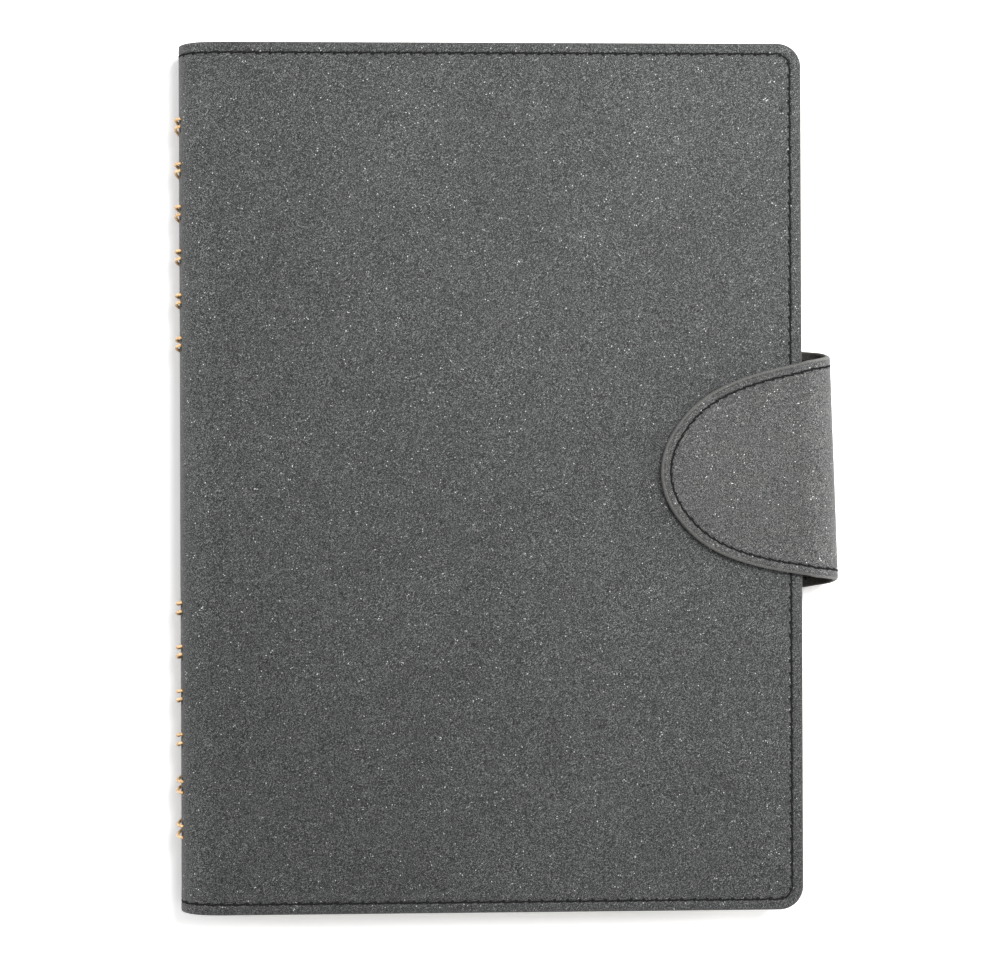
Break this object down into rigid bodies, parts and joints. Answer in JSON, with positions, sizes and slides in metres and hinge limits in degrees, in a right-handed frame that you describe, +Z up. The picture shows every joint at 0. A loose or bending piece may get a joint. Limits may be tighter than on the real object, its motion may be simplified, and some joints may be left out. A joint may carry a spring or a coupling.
{
  "type": "leather notebook cover",
  "caption": "Charcoal leather notebook cover that wraps sewn A5 paper, with laced spine, black edge stitching and a rounded magnetic tab that folds over the fore edge.",
  "frame": {"origin": "middle of the closed book's footprint, on the back cover's outside face", "axes": "+Z up from the back cover to the front cover, +Y to the head of the page, +X from the spine to the fore edge and tab"},
  "size_m": [0.1675, 0.218, 0.0193],
  "materials": {
    "outer_leather": "matt bonded leather with fine grain",
    "lining_leather": "smooth black lining",
    "stiffener_board": "grey board",
    "paper": "uncoated cream",
    "black_thread": "polished thread",
    "waxed_thread": "waxed linen",
    "magnet_steel": "nickel plate"
  },
  "bodies": {
    "back_cover": {"leather_back": "outer_leather", "stiffener_back": "stiffener_board", "lining_back": "lining_leather", "seam_back_head": "black_thread", "seam_back_tail": "black_thread", "leather_bend_back": "outer_leather", "lining_bend_back": "lining_leather", "paper_section_1": "paper", "paper_section_2": "paper", "paper_section_3": "paper"},
    "spine": {"leather_spine": "outer_leather", "lining_spine": "lining_leather", "leather_bend_front": "outer_leather", "lining_bend_front": "lining_leather", "seam_spine_head": "black_thread", "seam_spine_tail": "black_thread", "lacing_head": "waxed_thread", "lacing_tail": "waxed_thread"},
    "front_cover": {"leather_front": "outer_leather", "stiffener_front": "stiffener_board", "keeper_disc": "magnet_steel", "lining_front": "lining_leather", "seam_front": "black_thread"},
    "front_pages": {"paper_section_4": "paper", "paper_section_5": "paper", "paper_section_6": "paper"},
    "tab_wall": {"leather_tab_low": "outer_leather", "lining_tab_low": "lining_leather", "leather_tab_wall": "outer_leather", "lining_tab_wall": "lining_leather", "leather_tab_top": "outer_leather", "lining_tab_top": "lining_leather", "seam_tab_head": "black_thread", "seam_tab_tail": "black_thread"},
    "tab_flap": {"leather_flap": "outer_leather", "stiffener_flap": "stiffener_board", "flap_magnet": "magnet_steel", "lining_flap": "lining_leather", "seam_flap": "black_thread"}
  },
  "joints": [
    {"name": "spine_fold", "type": "hinge", "parent": "back_cover", "child": "spine", "pos_m": [-0.07591, 0, 0.0065], "axis": [0, -1, 0], "range_deg": [0, 90], "deforming": ["leather_bend_back", "lining_bend_back"]},
    {"name": "front_cover_fold", "type": "hinge", "parent": "spine", "child": "front_cover", "pos_m": [-0.07591, 0, 0.01043], "axis": [0, -1, 0], "range_deg": [0, 90], "deforming": ["leather_bend_front", "lining_bend_front", "seam_spine_head", "seam_spine_tail", "lacing_head", "lacing_tail"]},
    {"name": "page_turn", "type": "hinge", "parent": "back_cover", "child": "front_pages", "pos_m": [-0.07591, 0, 0.00847], "axis": [0, -1, 0], "range_deg": [0, 180]},
    {"name": "tab_base_fold", "type": "hinge", "parent": "back_cover", "child": "tab_wall", "pos_m": [0.07579, 0.0019, 0.007], "axis": [-0.0332, 0.9995, 0], "range_deg": [0, 90], "deforming": ["leather_tab_low", "lining_tab_low"]},
    {"name": "tab_top_fold", "type": "hinge", "parent": "tab_wall", "child": "tab_flap", "pos_m": [0.07579, 0.0019, 0.01233], "axis": [-0.0332, 0.9995, 0], "range_deg": [0, 90], "deforming": ["leather_tab_top", "lining_tab_top", "seam_tab_head", "seam_tab_tail"]}
  ],
  "couplings": [
    {"joint": "spine_fold", "follows": "front_cover_fold", "ratio": 1},
    {"joint": "page_turn", "follows": "front_cover_fold", "ratio": 2}
  ]
}
